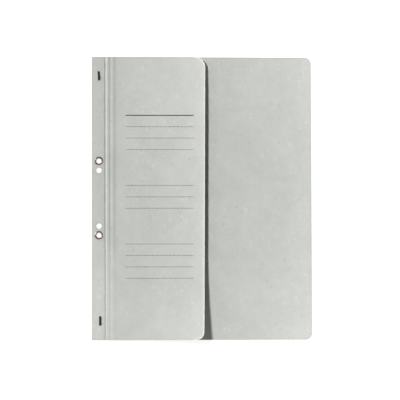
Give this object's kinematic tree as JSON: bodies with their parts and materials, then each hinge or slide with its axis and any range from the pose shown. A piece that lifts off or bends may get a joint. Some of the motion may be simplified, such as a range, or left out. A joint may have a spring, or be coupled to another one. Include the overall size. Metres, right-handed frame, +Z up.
{
  "type": "fastener folder",
  "caption": "A4 card folder lying closed, with a half-width front cover, a stapled and eyeletted filing edge, and a sheet-metal prong fastener inside.",
  "frame": {"origin": "centre of the closed folder's outline, on the surface that it lies on", "axes": "+X from the filing edge to the free edge, +Y up the folder's height, +Z up from the surface"},
  "size_m": [0.237, 0.305, 0.0118],
  "materials": {
    "card": "matte recycled card",
    "patch_card": "matte card",
    "eyelet_metal": "nickel plated, slightly tarnished",
    "staple_wire": "dark drawn wire",
    "fastener_steel": "zinc plated"
  },
  "bodies": {
    "back": {"back_cover": "card", "anchor_patch": "patch_card", "fastener_tongue": "fastener_steel", "compressor_bar": "fastener_steel"},
    "filing_edge": {"back_filing_strip": "card", "front_filing_strip": "card", "eyelet_upper": "eyelet_metal", "eyelet_lower": "eyelet_metal", "staple_upper": "staple_wire", "staple_lower": "staple_wire"},
    "inner_fold": {"inner_fold_panel": "card"},
    "outer_fold": {"outer_fold_panel": "card"},
    "front_cover": {"front_half_cover": "card"},
    "upper_clasp": {"slider_upper": "fastener_steel"},
    "lower_clasp": {"slider_lower": "fastener_steel"}
  },
  "joints": [
    {"name": "filing_edge_lift", "type": "hinge", "parent": "back", "child": "filing_edge", "pos_m": [-0.1041, 0, 0.0012], "axis": [0, 1, 0], "range_deg": [0, 30]},
    {"name": "first_score", "type": "hinge", "parent": "back", "child": "inner_fold", "pos_m": [-0.1041, 0, 0.0012], "axis": [0, -1, 0], "range_deg": [0, 60]},
    {"name": "second_score", "type": "hinge", "parent": "inner_fold", "child": "outer_fold", "pos_m": [-0.09867, 0, 0.00208], "axis": [0, -1, 0], "range_deg": [0, 60]},
    {"name": "cover_score", "type": "hinge", "parent": "outer_fold", "child": "front_cover", "pos_m": [-0.09324, 0, 0.00295], "axis": [0, -1, 0], "range_deg": [0, 60]},
    {"name": "upper_clasp_slide", "type": "slide", "parent": "back", "child": "upper_clasp", "axis": [0, -1, 0], "range_m": [0, 0.017]},
    {"name": "lower_clasp_slide", "type": "slide", "parent": "back", "child": "lower_clasp", "axis": [0, 1, 0], "range_m": [0, 0.017]}
  ]
}
